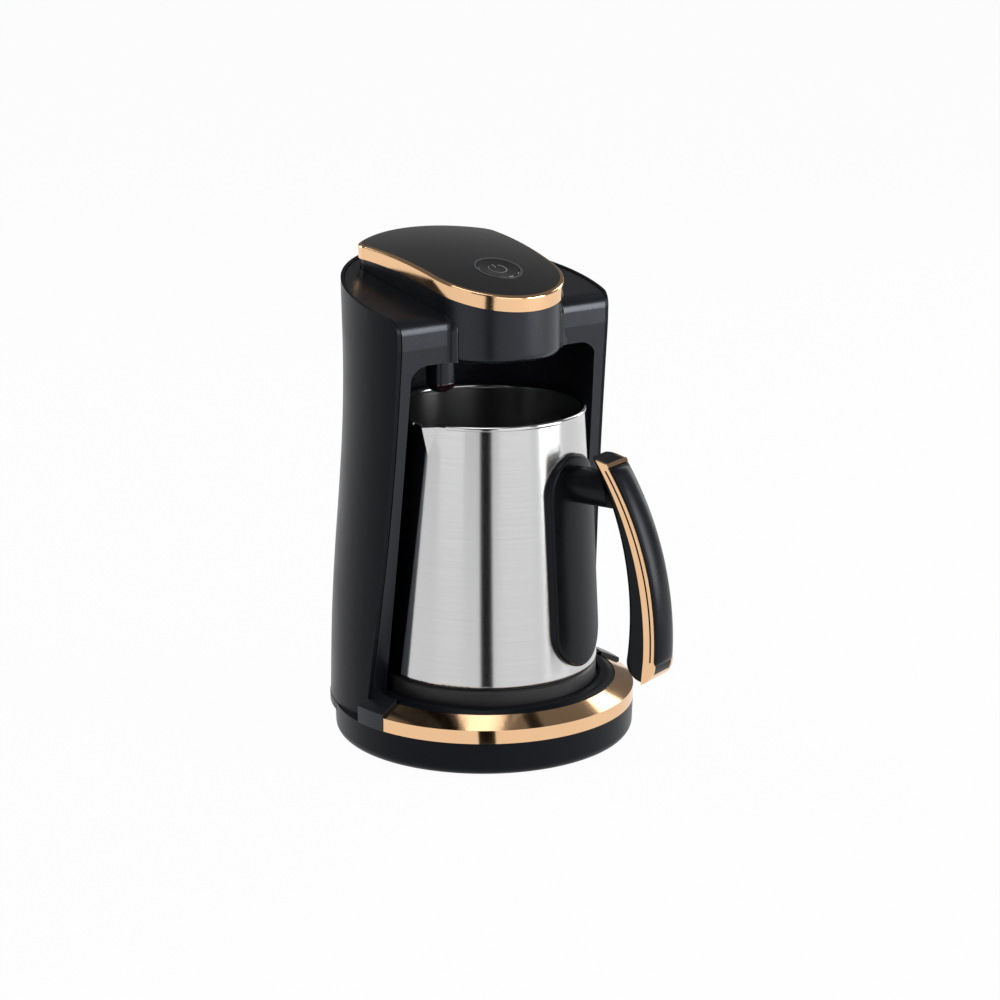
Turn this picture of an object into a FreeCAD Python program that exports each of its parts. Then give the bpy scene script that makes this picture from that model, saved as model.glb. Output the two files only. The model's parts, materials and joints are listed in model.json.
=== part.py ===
import FreeCAD, Part
import math
import os
import Sketcher

V = FreeCAD.Vector
doc = FreeCAD.newDocument("coffee_maker")

# Driving dimensions in millimetres. Front of the machine is -Y, height is +Z.
# Heights are above the table and plan positions are from the base's own axis.
SIZES = [
    # base
    ("base_radius", 70.0),
    ("base_top", 17.0),
    ("base_wall", 2.2),
    ("base_round", 5.0),
    ("foot_stand", 1.2),
    ("foot_radius", 7.0),
    ("foot_height", 2.2),
    ("foot_circle", 50.0),
    ("deck_thick", 2.4),
    ("deck_bore", 38.0),
    ("bottom_plate_radius", 60.0),
    ("bottom_plate_thick", 2.0),
    # bright ring round the base
    ("trim_band", 6.2),
    ("trim_rise", 4.5),
    ("trim_inner_radius", 60.1),
    ("trim_wall", 1.3),
    ("trim_half_angle", 76.5),
    # pot and its seat
    ("pot_setback", -2.1),
    ("pot_bottom", 35.5),
    ("pot_height", 119.4),
    ("pot_bottom_radius", 51.4),
    ("pot_rim_radius", 45.0),
    ("pot_wall", 1.0),
    ("pot_bottom_round", 2.5),
    ("rim_bead", 1.1),
    ("spout_reach", 5.0),
    ("spout_width", 15.0),
    ("spout_depth", 16.0),
    ("seat_inner_radius", 52.2),
    ("seat_crown", 1.6),
    ("seat_wall", 2.0),
    ("hot_plate_radius", 51.0),
    ("hot_plate_thick", 3.5),
    ("hot_plate_skirt", 2.6),
    ("hot_plate_depth", 8.5),
    ("hot_plate_edge", 0.8),
    ("element_radius", 34.0),
    ("element_tube", 3.6),
    ("probe_radius", 6.0),
    ("probe_depth", 9.0),
    ("probe_collar", 3.0),
    # handle
    ("handle_angle", 19.2),
    ("pad_width", 35.0),
    ("pad_bottom", 41.0),
    ("pad_top", 139.5),
    ("pad_thick", 3.4),
    ("stem_radius", 8.3),
    ("stem_height", 126.0),
    ("stem_trim", 0.6),
    ("bolt_radius", 2.0),
    ("bolt_length", 20.0),
    ("grip_width", 16.6),
    ("grip_top_reach", 69.6),
    ("grip_top_height", 139.4),
    ("grip_low_reach", 95.6),
    ("grip_low_height", 52.0),
    ("grip_bow", 7.6),
    ("grip_depth_top", 8.6),
    ("grip_depth_low", 15.2),
    ("grip_tip_height", 41.0),
    ("grip_frame_depth", 5.4),
    ("grip_frame_wall", 1.5),
    # column: rear shell and front frame
    ("shelf_drop", 3.5),
    ("shell_wall", 1.6),
    ("frame_wall", 2.2),
    ("arm_wall_end", 24.0),
    ("skirt_low", 203.0),
    ("rim_height", 206.3),
    ("rim_slope", 0.215),
    ("rim_round", 7.0),
    ("bay_low_height", 30.0),
    ("bay_low_radius", 55.8),
    ("bay_high_height", 180.0),
    ("bay_high_radius", 51.2),
    ("bay_ceiling", 182.2),
    ("arch_round", 10.0),
    ("front_low_y", 0.5),
    ("front_high_y", -17.2),
    ("front_high_height", 190.0),
    ("front_bow", 1.15),
    # head
    ("head_radius", 33.2),
    ("head_setback", -5.0),
    ("head_back_half", 37.6),
    ("head_back_y", 45.5),
    ("head_back_radius", 79.0),
    ("head_corner_round", 5.0),
    ("crown_top", 229.8),
    ("crown_y", 57.0),
    ("crown_long_radius", 255.0),
    ("crown_cross_radius", 265.0),
    ("head_trim_height", 6.0),
    ("head_trim_width", 1.7),
    ("head_inset", 0.9),
    ("head_floor", 181.6),
    ("head_floor_round", 3.5),
    ("head_blend", 6.0),
    ("panel_thick", 2.4),
    ("button_y", -11.4),
    ("button_radius", 9.7),
    ("button_travel", 1.0),
    ("board_length", 36.0),
    ("board_width", 30.0),
    ("board_thick", 1.6),
    ("board_post_radius", 2.3),
    ("board_post_inset", 3.2),
    ("switch_case", 3.6),
    # sensor over the pot
    ("sensor_x", -21.0),
    ("sensor_y", 4.0),
    ("sensor_radius", 6.7),
    ("sensor_bottom", 166.0),
    # clearances
    ("seam", 0.3),
    ("button_gap", 0.25),
    ("plunger_gap", 0.08),
    # the base's axis stands this far behind the middle of the whole object, set from its box below
    ("axis_setback", 9.17),
]

sheet = doc.addObject("Spreadsheet::Sheet", "sizes")
for row, (name, value) in enumerate(SIZES, start=1):
    sheet.set("A%d" % row, name)
    sheet.set("B%d" % row, str(value))
    sheet.setAlias("B%d" % row, name)
doc.recompute()


def size(name):
    return float(sheet.get(name))


NODES = []


def place(node):
    # every piece is drawn about the base's axis and set back to the object's own origin
    node.setExpression("Placement.Base.y", "<<sizes>>.axis_setback")
    NODES.append(node)
    return node


def feature(name, shape):
    node = doc.addObject("Part::Feature", name)
    node.Label = name
    # a compound keeps where its solids lie, whatever the node's own placement says
    node.Shape = Part.makeCompound(shape.Solids)
    return place(node)


def plane_of(body, role):
    for plane in body.Origin.OriginFeatures:
        if plane.Role == role:
            return plane


# Plain helpers for solids
def cylinder(radius, low, high, x=0.0, y=0.0):
    return Part.makeCylinder(radius, high - low, V(x, y, low))


def prism(wire, low, high):
    return Part.Face(wire).extrude(V(0, 0, high - low))


def revolve_profile(points, y=0.0):
    """A full turn about the vertical axis at y of a closed outline in radius and height.
    A point with three values starts a round corner of that radius."""
    corners = [V(p[0], 0, p[1]) for p in points]
    wire = round_polygon(corners, [p[2] if len(p) > 2 else 0.0 for p in points])
    solid = Part.Face(wire).revolve(V(0, 0, 0), V(0, 0, 1), 360)
    solid.translate(V(0, y, 0))
    return solid


def round_polygon(corners, radii):
    """A closed wire of straight runs with tangent arcs of the given radii at its corners."""
    count = len(corners)
    entry = []
    leave = []
    for i, corner in enumerate(corners):
        before = (corners[i - 1] - corner).normalize()
        after = (corners[(i + 1) % count] - corner).normalize()
        if radii[i] <= 0:
            entry.append(corner)
            leave.append(corner)
            continue
        half = before.getAngle(after) / 2
        run = radii[i] / math.tan(half)
        entry.append(corner + before * run)
        leave.append(corner + after * run)
    edges = []
    for i, corner in enumerate(corners):
        if radii[i] > 0:
            before = (entry[i] - corner).normalize()
            after = (leave[i] - corner).normalize()
            half = before.getAngle(after) / 2
            middle = (before + after).normalize()
            crest = corner + middle * (radii[i] / math.sin(half) - radii[i])
            edges.append(Part.Arc(entry[i], crest, leave[i]).toShape())
        following = entry[(i + 1) % count]
        if (following - leave[i]).Length > 1e-6:
            edges.append(Part.LineSegment(leave[i], following).toShape())
    return Part.Wire(edges)


def solid_of(shape):
    """The largest solid of a boolean's result."""
    return max(shape.Solids, key=lambda one: one.Volume)


def circle_wire(radius, y, height):
    return Part.Wire(Part.makeCircle(radius, V(0, y, height)))


# Outer form of the column: circles whose radius and centre drift with height
COLUMN = [
    # height, centre y, radius
    (10.0, 10.6, 66.4),
    (45.0, 10.4, 65.5),
    (90.0, 9.0, 63.7),
    (135.0, 5.6, 62.1),
    (180.0, 3.4, 61.9),
    (226.0, 3.0, 62.6),
]


def column(inset):
    sections = [circle_wire(radius - inset, y, height) for height, y, radius in COLUMN]
    return Part.makeLoft(sections, True, False)


def front_curve(forward, corner_round, lift=0.0):
    """Side view of everything behind the leaning front and below the sloping top."""
    low = size("bay_low_height")
    high = size("front_high_height")
    rise = high - low
    lean = (size("front_high_y") - size("front_low_y")) / rise
    start = V(0, size("front_low_y") - forward - lean * (low - 5), 5)
    middle_height = (low + high) / 2
    middle = V(0, (size("front_low_y") + size("front_high_y")) / 2 - forward - size("front_bow"), middle_height)
    end = V(0, size("front_high_y") - forward, high)
    slope = size("rim_slope")
    top_y = end.y
    corner = V(0, top_y, size("rim_height") + lift + slope * top_y)
    back = V(0, 90, size("rim_height") + lift + slope * 90)
    floor_back = V(0, 90, 5)
    to_top = (corner - end).normalize()
    to_back = (back - corner).normalize()
    half = (end - corner).getAngle(back - corner) / 2
    run = corner_round / math.tan(half)
    arc_start = corner - to_top * run
    arc_end = corner + to_back * run
    bisector = ((end - corner).normalize() + (back - corner).normalize()).normalize()
    crest = corner + bisector * (corner_round / math.sin(half) - corner_round)
    edges = [
        Part.Arc(start, middle, end).toShape(),
        Part.LineSegment(end, arc_start).toShape(),
        Part.Arc(arc_start, crest, arc_end).toShape(),
        Part.LineSegment(arc_end, back).toShape(),
        Part.LineSegment(back, floor_back).toShape(),
        Part.LineSegment(floor_back, start).toShape(),
    ]
    face = Part.Face(Part.Wire(edges))
    solid = face.extrude(V(200, 0, 0))
    solid.translate(V(-100, 0, 0))
    return solid


# Bay that takes the pot: a half round back with straight sides, open to the front
def bay_outline(radius, height):
    setback = size("pot_setback")
    left = V(-radius, setback, height)
    right = V(radius, setback, height)
    back = V(0, setback + radius, height)
    front_left = V(-radius, -90, height)
    front_right = V(radius, -90, height)
    return Part.Wire([
        Part.Arc(left, back, right).toShape(),
        Part.LineSegment(right, front_right).toShape(),
        Part.LineSegment(front_right, front_left).toShape(),
        Part.LineSegment(front_left, left).toShape(),
    ])


def bay_radius(height):
    low = size("bay_low_height")
    share = (height - low) / (size("bay_high_height") - low)
    return size("bay_low_radius") + share * (size("bay_high_radius") - size("bay_low_radius"))


def bay(grow, low, ceiling):
    wires = [bay_outline(bay_radius(z) + grow, z) for z in (low, ceiling)]
    hollow = Part.makeLoft(wires, True, True)
    wide = bay_radius(ceiling) + grow
    foot = bay_radius(low) + grow
    arch = round_polygon(
        [V(-foot - 20, -95, low), V(foot + 20, -95, low), V(wide, -95, ceiling), V(-wide, -95, ceiling)],
        [0, 0, size("arch_round") + grow, size("arch_round") + grow])
    arch_solid = Part.Face(arch).extrude(V(0, 190, 0))
    return hollow.common(arch_solid)


# Plan of the head: round front lobe, straight sides, shallow back arc with round corners
def head_outline(inset, height, corner_round=None):
    radius = size("head_radius") - inset
    centre = V(0, size("head_setback"), height)
    half = size("head_back_half") - inset
    back_y = size("head_back_y") - inset * 0.3
    bulge = size("head_back_radius") - math.sqrt(size("head_back_radius") ** 2 - half ** 2)
    round_off = (size("head_corner_round") if corner_round is None else corner_round)
    corner = V(half, back_y, height)
    reach = corner - centre
    span = math.hypot(reach.x, reach.y)
    turn = math.atan2(reach.y, reach.x) - math.acos(radius / span)
    touch = V(centre.x + radius * math.cos(turn), centre.y + radius * math.sin(turn), height)
    along = (corner - touch).normalize()
    crest = V(0, back_y + bulge + 4.0, height)
    side_end = corner - along * round_off
    # the corner arc leaves the side and meets the back arc a little inward
    back_start = V(half - round_off * 0.55, back_y + round_off * 0.62, height)
    middle = V(half - round_off * 0.13, back_y + round_off * 0.02, height)
    mirror = lambda p: V(-p.x, p.y, p.z)
    edges = [
        Part.Arc(mirror(touch), V(0, centre.y - radius, height), touch).toShape(),
        Part.LineSegment(touch, side_end).toShape(),
        Part.Arc(side_end, middle, back_start).toShape(),
        Part.Arc(back_start, crest, mirror(back_start)).toShape(),
        Part.Arc(mirror(back_start), mirror(middle), mirror(side_end)).toShape(),
        Part.LineSegment(mirror(side_end), mirror(touch)).toShape(),
    ]
    return Part.Wire(edges)


def head_prism(inset, low=170.0, high=245.0):
    return prism(head_outline(inset, low), low, high)


def crown(drop):
    """Everything below the doubly crowned top, lowered by drop."""
    axis_height = size("crown_top") - size("crown_long_radius")
    cross = size("crown_cross_radius")
    half = 55.0
    edge = math.sqrt(cross ** 2 - half ** 2) - cross
    top = size("crown_top") - drop
    y = size("crown_y")
    left = V(-half, y, top + edge)
    right = V(half, y, top + edge)
    face = Part.Face(Part.Wire([
        Part.Arc(left, V(0, y, top), right).toShape(),
        Part.LineSegment(right, V(half, y, axis_height)).toShape(),
        Part.LineSegment(V(half, y, axis_height), V(-half, y, axis_height)).toShape(),
        Part.LineSegment(V(-half, y, axis_height), left).toShape(),
    ]))
    face.rotate(V(0, y, axis_height), V(1, 0, 0), -8)
    return face.revolve(V(0, y, axis_height), V(1, 0, 0), 38)


def crown_at(y):
    """Height of the crown's middle line and its tilt in degrees at a place along Y."""
    reach = size("crown_y") - y
    radius = size("crown_long_radius")
    return size("crown_top") - radius + math.sqrt(radius ** 2 - reach ** 2), math.degrees(math.asin(reach / radius))


# Sketched round pieces: each corner is (radius expression, height expression)
def turned(name, corners, spare=False):
    body = doc.addObject("PartDesign::Body", name)
    body.Label = name
    sketch = body.newObject("Sketcher::SketchObject", name + "_profile")
    sketch.AttachmentSupport = [(plane_of(body, "XZ_Plane"), "")]
    sketch.MapMode = "FlatFace"
    count = len(corners)
    spots = [V(10 + 5 * math.cos(2 * math.pi * i / count), 20 + 5 * math.sin(2 * math.pi * i / count), 0)
             for i in range(count)]
    for i in range(count):
        sketch.addGeometry(Part.LineSegment(spots[i], spots[(i + 1) % count]), False)
    for i in range(count):
        sketch.addConstraint(Sketcher.Constraint("Coincident", i, 2, (i + 1) % count, 1))
    for i, (radius, height) in enumerate(corners):
        number = sketch.addConstraint(Sketcher.Constraint("DistanceX", -1, 1, i, 1, spots[i].x))
        sketch.setExpression("Constraints[%d]" % number, radius)
        number = sketch.addConstraint(Sketcher.Constraint("DistanceY", -1, 1, i, 1, spots[i].y))
        sketch.setExpression("Constraints[%d]" % number, height)
    turn = body.newObject("PartDesign::Revolution", name + "_turn")
    turn.Profile = sketch
    turn.ReferenceAxis = (sketch, ["V_Axis"])
    turn.Angle = 360
    doc.recompute()
    if spare:
        return body
    return place(body)


def on_pot_axis(body):
    body.setExpression("Placement.Base.y", "<<sizes>>.axis_setback + <<sizes>>.pot_setback")
    return body


def ring_of(solid, count, first_angle, y=0.0):
    """Copies of a solid spaced evenly about the vertical axis at y."""
    copies = []
    for i in range(count):
        copy = solid.copy()
        copy.rotate(V(0, y, 0), V(0, 0, 1), first_angle + 360.0 * i / count)
        copies.append(copy)
    return copies


def screw(length, shank, head_radius=2.6, head_height=1.8):
    """A pan head screw with a cross recess, its head's seat at height 0 and its shank going up."""
    body = Part.makeCylinder(shank, length).fuse(Part.makeCylinder(head_radius, head_height, V(0, 0, -head_height)))
    for turn in (0, 90):
        bar = Part.makeBox(2.6, 0.7, 0.9, V(-1.3, -0.35, -head_height))
        bar.rotate(V(0, 0, 0), V(0, 0, 1), turn)
        body = body.cut(bar)
    return body


# Base bowl: moulded dish with a deck inside its rim and a shelf that carries the column's back
deck_top = size("base_top")
plate_low = size("foot_stand")
plate_high = plate_low + size("bottom_plate_thick")
post_circle = size("bottom_plate_radius") - 7
shelf_centre = COLUMN[0][1]
shelf_radius = COLUMN[0][2]


def build_base_bowl():
    radius = size("base_radius")
    wall = size("base_wall")
    opening = size("bottom_plate_radius") + size("seam")
    bowl = revolve_profile([
        (opening, plate_low),
        (radius - 0.6, plate_low, size("base_round")),
        (radius, deck_top),
        (size("deck_bore"), deck_top),
        (size("deck_bore"), deck_top - size("deck_thick")),
        (radius - wall, deck_top - size("deck_thick"), 1.5),
        (radius - wall, plate_high + 1.6, 2.0),
        (opening - 2.0, plate_high + 1.6),
        (opening - 2.0, plate_high + 0.05),
        (opening, plate_high + 0.05),
    ])
    shelf = cylinder(shelf_radius, deck_top - size("shelf_drop"), deck_top, 0, shelf_centre)
    shelf = shelf.cut(cylinder(radius - wall / 2, 0, 60))
    post = cylinder(3.2, plate_high + 0.05, deck_top - size("deck_thick") / 2, post_circle).cut(
        cylinder(1.3, 0, deck_top - size("deck_thick") - 0.5, post_circle))
    return feature("base_bowl", bowl.fuse([shelf] + ring_of(post, 4, 45)).removeSplitter())


def build_base_fastenings():
    plate = turned("bottom_disc", [
        ("0", "<<sizes>>.foot_stand"),
        ("<<sizes>>.bottom_plate_radius", "<<sizes>>.foot_stand"),
        ("<<sizes>>.bottom_plate_radius", "<<sizes>>.foot_stand + <<sizes>>.bottom_plate_thick"),
        ("0", "<<sizes>>.foot_stand + <<sizes>>.bottom_plate_thick"),
    ], spare=True)
    foot = cylinder(size("foot_radius"), 0, size("foot_height"), size("foot_circle") - 6)
    foot = foot.fuse(cylinder(size("foot_radius") - 2, 0, plate_high + 0.4, size("foot_circle") - 6))
    feet = ring_of(foot, 4, 0)
    head_well = cylinder(3.0, plate_low - 1, plate_low + 1.0, post_circle)
    hole = cylinder(1.6, 0, plate_high + 1, post_circle)
    disc = plate.Shape.cut(Part.makeCompound(feet)).cut(Part.makeCompound(ring_of(head_well.fuse(hole), 4, 45)))
    feature("base_bottom_plate", disc)
    feature("rubber_feet", Part.makeCompound(feet))
    bolt = screw(9.0, 1.25, 2.6, 0.9)
    bolt.translate(V(post_circle, 0, plate_low + 1.0))
    feature("base_screws", Part.makeCompound(ring_of(bolt, 4, 45)))


# Bright ring: an upright band that leans inwards above a crease, open where the column stands
def ring_form(grow, lift):
    base = size("base_radius") + grow
    low = deck_top
    crease = deck_top + size("trim_band") + lift
    top = crease + size("trim_rise")
    band = Part.makeLoft([circle_wire(base, 0, low), circle_wire(base, 0, crease)], True, True)
    slope = Part.makeLoft([circle_wire(base, 0, crease),
                           circle_wire(size("trim_inner_radius") + grow, size("pot_setback"), top)], True, True)
    return band.fuse(slope)


def sector(half_angle, low, high, reach=120.0):
    """A wedge about the base's axis, open to the front by half_angle on each side."""
    start = -90 - half_angle
    wedge = Part.makeCylinder(reach, high - low, V(0, 0, low), V(0, 0, 1), 2 * half_angle)
    wedge.rotate(V(0, 0, 0), V(0, 0, 1), start)
    return wedge


def build_trim_ring():
    wall = size("trim_wall")
    ring = ring_form(0, 0).cut(ring_form(-wall, -wall * 0.8))
    ring = ring.cut(cylinder(size("trim_inner_radius"), 0, 80, 0, size("pot_setback")))
    return feature("base_trim_ring", ring.common(sector(size("trim_half_angle"), 0, 60)))


# Black seat round the hot plate, with a crowned top and a ledge for the plate
seat_edge_height = size("base_top") + size("trim_band") + size("trim_rise")
skirt_low = size("pot_bottom") - size("hot_plate_depth")


def build_seat():
    outer = size("trim_inner_radius") - 0.15
    inner = size("seat_inner_radius")
    wall = size("seat_wall")
    edge = seat_edge_height - 0.2
    top = edge + size("seat_crown")
    ring = revolve_profile([
        (outer - wall, deck_top),
        (outer, deck_top),
        (outer, edge, 0.8),
        (outer - 3.4, top, 4.0),
        (inner, top, 1.2),
        (inner, skirt_low),
        (inner - 5, skirt_low),
        (inner - 5, skirt_low - wall),
        (inner + wall * 0.6, skirt_low - wall, 1.5),
        (inner + wall * 0.6, top - wall - 0.4, 1.0),
        (outer - wall, top - wall - 0.8, 1.0),
    ], size("pot_setback"))
    return feature("seat_ring", ring)


def build_heater():
    bottom = "<<sizes>>.pot_bottom"
    hot_plate = turned("hot_plate", [
        ("0", bottom + " - <<sizes>>.hot_plate_thick"),
        ("<<sizes>>.hot_plate_radius - <<sizes>>.hot_plate_skirt", bottom + " - <<sizes>>.hot_plate_thick"),
        ("<<sizes>>.hot_plate_radius - <<sizes>>.hot_plate_skirt", bottom + " - <<sizes>>.hot_plate_depth"),
        ("<<sizes>>.hot_plate_radius", bottom + " - <<sizes>>.hot_plate_depth"),
        ("<<sizes>>.hot_plate_radius", bottom + " - <<sizes>>.hot_plate_edge"),
        ("<<sizes>>.hot_plate_radius - <<sizes>>.hot_plate_edge", bottom),
        ("0", bottom),
    ])
    on_pot_axis(hot_plate)
    y = size("pot_setback")
    tube = size("element_tube")
    axis_height = size("pot_bottom") - size("hot_plate_thick") - tube
    element = Part.makeTorus(size("element_radius"), tube, V(0, y, axis_height), V(0, 0, 1), 0, 360, 310)
    element.rotate(V(0, y, 0), V(0, 0, 1), 115)
    ends = []
    for angle in (115, 65):
        x = size("element_radius") * math.cos(math.radians(angle))
        end_y = y + size("element_radius") * math.sin(math.radians(angle))
        ends.append(Part.makeCylinder(tube * 0.75, tube + 6, V(x, end_y, axis_height - tube - 6)))
    feature("heating_element", element.fuse(ends))
    probe = turned("temperature_probe", [
        ("0", bottom + " - <<sizes>>.hot_plate_thick - <<sizes>>.probe_depth"),
        ("<<sizes>>.probe_radius * 2 / 3", bottom + " - <<sizes>>.hot_plate_thick - <<sizes>>.probe_depth"),
        ("<<sizes>>.probe_radius * 2 / 3", bottom + " - <<sizes>>.hot_plate_thick - <<sizes>>.probe_collar"),
        ("<<sizes>>.probe_radius", bottom + " - <<sizes>>.hot_plate_thick - <<sizes>>.probe_collar"),
        ("<<sizes>>.probe_radius", bottom + " - <<sizes>>.hot_plate_thick"),
        ("0", bottom + " - <<sizes>>.hot_plate_thick"),
    ])
    on_pot_axis(probe)
    under = size("pot_bottom") - size("hot_plate_thick")
    fuse_link = Part.makeCylinder(2.2, 16, V(-8, y - 16, under - 2.2), V(1, 0, 0))
    strap = Part.makeBox(5, 6.6, 0.8, V(-2.5, y - 13.4, under - 0.8))
    saddle = Part.makeBox(5, 6.4, 5.2, V(-2.5, y - 19.2, under - 5.2))
    seat = Part.makeCylinder(2.2, 20, V(-10, y - 16, under - 2.2), V(1, 0, 0))
    saddle = saddle.cut(seat.fuse(Part.makeBox(20, 4.4, 4, V(-10, y - 18.2, under - 2.2))))
    feature("thermal_fuse", fuse_link)
    feature("fuse_clip", strap.fuse(saddle))
    shield = revolve_profile([
        (12, deck_top),
        (size("deck_bore") + 8, deck_top),
        (size("deck_bore") + 8, deck_top + 5.0, 1.0),
        (size("deck_bore") + 7.2, deck_top + 5.0),
        (size("deck_bore") + 7.2, deck_top + 0.8),
        (12, deck_top + 0.8),
    ], y)
    feature("heat_shield", shield)


# Column shell: thin wrap open to the front, top and bottom
shell_seat = deck_top


def build_rear_shell():
    skin = column(0).cut(column(size("shell_wall")))
    skin = skin.common(front_curve(0, size("rim_round"), 0.5))
    skin = skin.common(Part.makeBox(300, 300, 300, V(-150, -150, shell_seat)))
    inlet_height = shell_seat + 12
    inlet = Part.makeCylinder(5.2, 40, V(0, 60, inlet_height), V(0, 1, 0))
    skin = skin.cut(inlet)
    for side in (-1, 1):
        for row in range(4):
            slot = Part.makeBox(14, 40, 1.6, V(side * 13 - 7, 60, shell_seat + 27 + 5 * row))
            skin = skin.cut(slot)
    return feature("rear_shell", skin)


def build_cord_grommet():
    height = shell_seat + 12
    back = 0.0
    for low, high in zip(COLUMN[:-1], COLUMN[1:]):
        if low[0] <= height <= high[0]:
            share = (height - low[0]) / (high[0] - low[0])
            back = low[1] + low[2] + share * (high[1] + high[2] - low[1] - low[2])
    wall = size("shell_wall")
    profile = [
        (2.4, -6.0), (6.4, -6.0), (6.4, -wall - 0.3), (5.0, -wall - 0.3),
        (5.0, 0.3), (6.8, 0.3), (6.8, 1.6), (2.4, 1.6),
    ]
    solid = revolve_profile([(r, z) for r, z in profile])
    solid.rotate(V(0, 0, 0), V(1, 0, 0), -90)
    solid.translate(V(0, back, height))
    return feature("cord_grommet", solid)


# Front frame: arms, shoulders, bay wall and ceiling in one moulding
def blend_outline(low, high):
    """Plan of the swelling that runs from the front face out to the head's lobe."""
    face_y = size("front_high_y")
    blend = size("head_blend")
    radius = size("head_radius")
    centre_y = size("head_setback")
    reach = radius + blend
    fall = centre_y - (face_y - blend)
    x = math.sqrt(reach ** 2 - fall ** 2)
    hollow = V(-x, face_y - blend, low)
    on_face = V(-x, face_y, low)
    toward = (V(0, centre_y, low) - hollow).normalize()
    on_lobe = hollow + toward * blend
    crest = hollow + (toward + V(0, 1, 0)).normalize() * blend
    back = face_y + 4
    mirror = lambda p: V(-p.x, p.y, p.z)
    wire = Part.Wire([
        Part.LineSegment(V(on_face.x, back, low), on_face).toShape(),
        Part.Arc(on_face, crest, on_lobe).toShape(),
        Part.LineSegment(on_lobe, mirror(on_lobe)).toShape(),
        Part.Arc(mirror(on_lobe), mirror(crest), mirror(on_face)).toShape(),
        Part.LineSegment(mirror(on_face), V(-on_face.x, back, low)).toShape(),
        Part.LineSegment(V(-on_face.x, back, low), V(on_face.x, back, low)).toShape(),
    ])
    return prism(wire, low, high)


def sloping_top(drop):
    """Everything below the sloping shoulder plane, lowered by drop."""
    slope = size("rim_slope")
    level = size("rim_height") - drop
    corners = [V(-120, -120, -10), V(-120, 120, -10), V(-120, 120, level + slope * 120),
               V(-120, -120, level - slope * 120)]
    return Part.Face(Part.makePolygon(corners + corners[:1])).extrude(V(240, 0, 0))


def build_front_frame():
    wall = size("frame_wall")
    seam = size("seam")
    skin = size("shell_wall") + seam
    ceiling = size("bay_ceiling")
    block = column(skin).common(front_curve(0.4, 0.01, 20))
    blend = blend_outline(ceiling, 240)
    block = block.fuse(blend).common(sloping_top(0))
    block = solid_of(block.common(Part.makeBox(300, 300, 300, V(-150, -150, deck_top))))
    # round the shoulders where the top meets the front
    edges = []
    for edge in block.Edges:
        box = edge.BoundBox
        high_edge = box.ZMin > size("rim_height") - 6 and box.ZMax < size("rim_height") + 0.5
        if high_edge and box.YMax < size("front_high_y") + 0.8 and box.YMin < size("front_high_y"):
            if box.XLength > 1.0:
                edges.append(edge)
    try:
        block = block.makeFillet(size("rim_round"), edges)
    except Part.OCCError:
        print("shoulder round failed", len(edges))
    hollow = column(skin + wall).common(front_curve(-wall, 0.01, 20)).common(sloping_top(wall))
    bay_shell = bay(wall, deck_top - 5, ceiling + wall)
    # the side walls end behind the arms, so that the shell alone closes the back
    open_back = Part.makeBox(200, 100, size("skirt_low"), V(-100, size("arm_wall_end"), 0))
    block = block.cut(hollow.cut(bay_shell)).cut(open_back.cut(bay_shell))
    block = block.cut(bay(0, deck_top - 5, ceiling))
    block = block.cut(cylinder(size("trim_inner_radius") + seam, 0, seat_edge_height + seam + 1.2, 0,
                               size("pot_setback")))
    # opening for the head, and the slot through which its lobe stands forward
    gap = seam
    lobe_opening = head_prism(size("head_inset") - gap, 150, 260).common(
        Part.makeBox(200, 200, 300, V(-100, -200 + size("front_high_y") + wall + 3, 0)))
    block = block.cut(lobe_opening)
    block = block.cut(head_prism(size("head_inset") - gap, ceiling + wall + 0.01, 260))
    # foot on each side that caps the bright ring's end
    cap = ring_form(0.3, 1.6)
    cap = cap.cut(cylinder(size("trim_inner_radius") + seam, 0, seat_edge_height + seam + 1.2, 0,
                           size("pot_setback")))
    cap = cap.cut(cylinder(size("bay_low_radius"), 0, 80, 0, size("pot_setback")))
    cap = cap.cut(sector(size("trim_half_angle") + 0.15, 0, 80))
    cap = cap.common(Part.makeBox(300, 100, 100, V(-150, -100 + size("front_low_y") + 0.6, deck_top)))
    cap = cap.cut(column(0).common(front_curve(-0.6, 0.01, 20)).cut(column(skin)))
    block = block.fuse(cap)
    # boss that holds the sensor over the pot
    boss = Part.makeCone(size("sensor_radius") + 2.2, size("sensor_radius") + 1.2, 4.0)
    boss.rotate(V(0, 0, 0), V(1, 0, 0), 180)
    boss.translate(V(size("sensor_x"), size("sensor_y"), ceiling + 0.5))
    bore = cylinder(size("sensor_radius") + 0.05, 150, ceiling + wall + 2, size("sensor_x"), size("sensor_y"))
    block = block.fuse(boss).cut(bore)
    return feature("front_frame", block.removeSplitter())


def build_sensor():
    x = size("sensor_x")
    y = size("sensor_y")
    low = size("sensor_bottom")
    high = size("bay_ceiling") + size("frame_wall") + 1.5
    radius = size("sensor_radius")
    tube = revolve_profile([
        (radius * 0.55, low), (radius, low, 2.0), (radius, high - 1.5), (radius + 2.0, high - 1.5),
        (radius + 2.0, high), (radius * 0.7, high), (radius * 0.7, low + 2.2), (radius * 0.55, low + 2.2),
    ])
    tube.translate(V(x, y, 0))
    feature("sensor_housing", tube)
    window = revolve_profile([
        (0, low + 0.4), (radius * 0.55, low + 0.4), (radius * 0.55, low + 2.2), (radius * 0.7, low + 2.2),
        (radius * 0.7, low + 3.2), (0, low + 3.2),
    ])
    window.translate(V(x, y, 0))
    feature("sensor_window", window)
    eye = cylinder(radius * 0.55, low + 3.2, low + 8.0, x, y)
    board = cylinder(radius * 0.68, low + 8.0, low + 9.4, x, y)
    feature("infrared_sensor", eye.fuse(board))


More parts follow.
